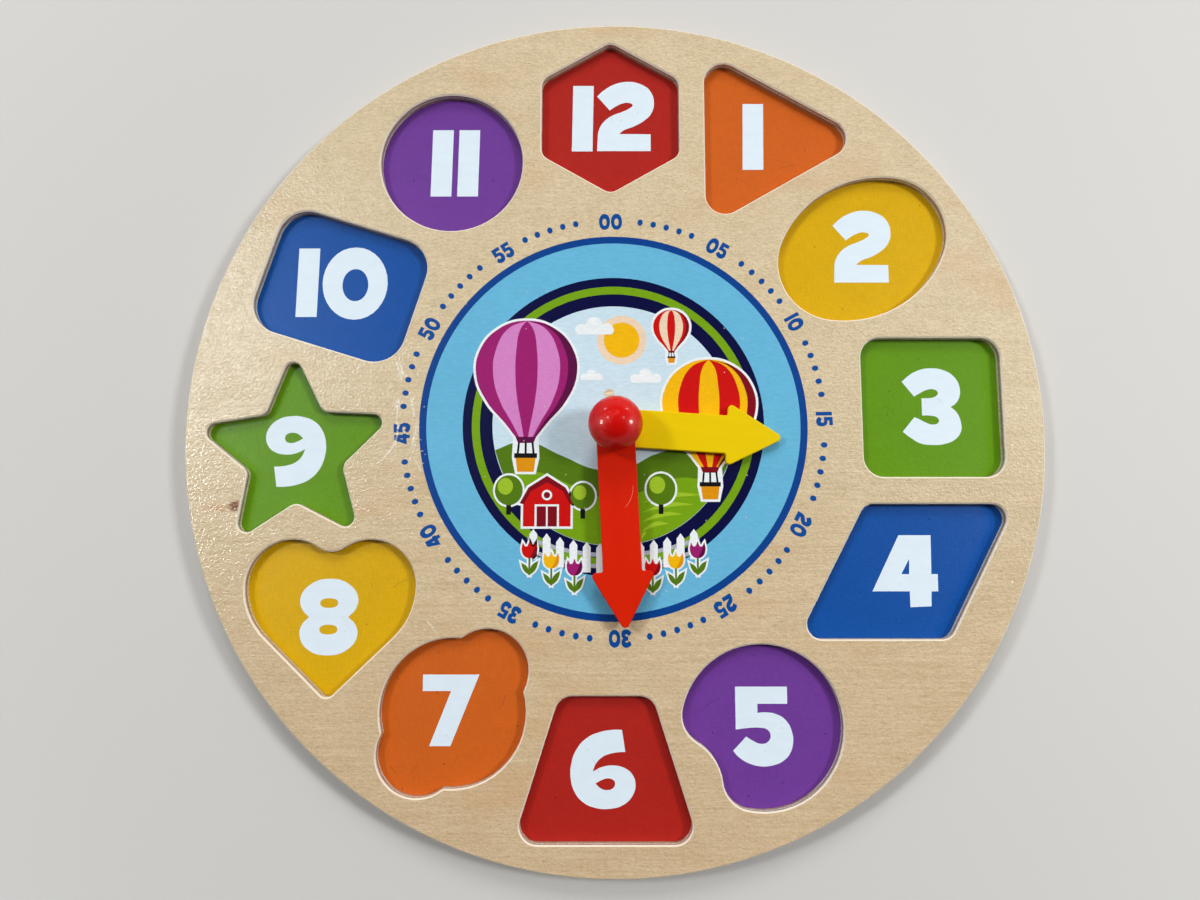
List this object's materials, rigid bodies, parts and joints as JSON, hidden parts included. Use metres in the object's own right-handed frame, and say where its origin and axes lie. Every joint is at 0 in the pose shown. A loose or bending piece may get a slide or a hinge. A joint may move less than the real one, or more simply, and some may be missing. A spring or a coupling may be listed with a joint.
{
  "type": "teaching clock",
  "caption": "Round wooden teaching clock: shaped number pockets around a minute dial, and hour and minute arrows that turn by hand under a ball knob.",
  "frame": {"origin": "centre of the underside of the back board", "axes": "+Z out of the face along the hand axle, +Y to twelve o'clock, +X to three o'clock"},
  "size_m": [0.3, 0.3, 0.0312],
  "materials": {
    "face_plywood": "satin clear-coated pale plywood with printed dial",
    "back_plywood": "satin pale plywood, printed colours on the pocket floors",
    "sleeve_nylon": "natural nylon",
    "washer_nylon": "natural nylon",
    "screw_steel": "zinc-plated steel",
    "yellow_plastic": "satin moulded plastic",
    "red_plastic": "satin moulded plastic",
    "red_gloss_paint": "gloss red paint on a turned wooden ball"
  },
  "bodies": {
    "clock": {"back_board": "back_plywood", "face_board": "face_plywood", "pivot_sleeve": "sleeve_nylon", "centre_screw": "screw_steel", "dial_washer": "washer_nylon", "spacer_washer": "washer_nylon", "ball_knob": "red_gloss_paint"},
    "hour_hand": {"hour_hand": "yellow_plastic"},
    "minute_hand": {"minute_hand": "red_plastic"}
  },
  "joints": [
    {"name": "hour_hand_turn", "type": "hinge", "parent": "clock", "child": "hour_hand", "pos_m": [0, 0, 0.01105], "axis": [0, 0, -1], "continuous": true},
    {"name": "minute_hand_turn", "type": "hinge", "parent": "clock", "child": "minute_hand", "pos_m": [0, 0, 0.01405], "axis": [0, 0, -1], "continuous": true}
  ]
}
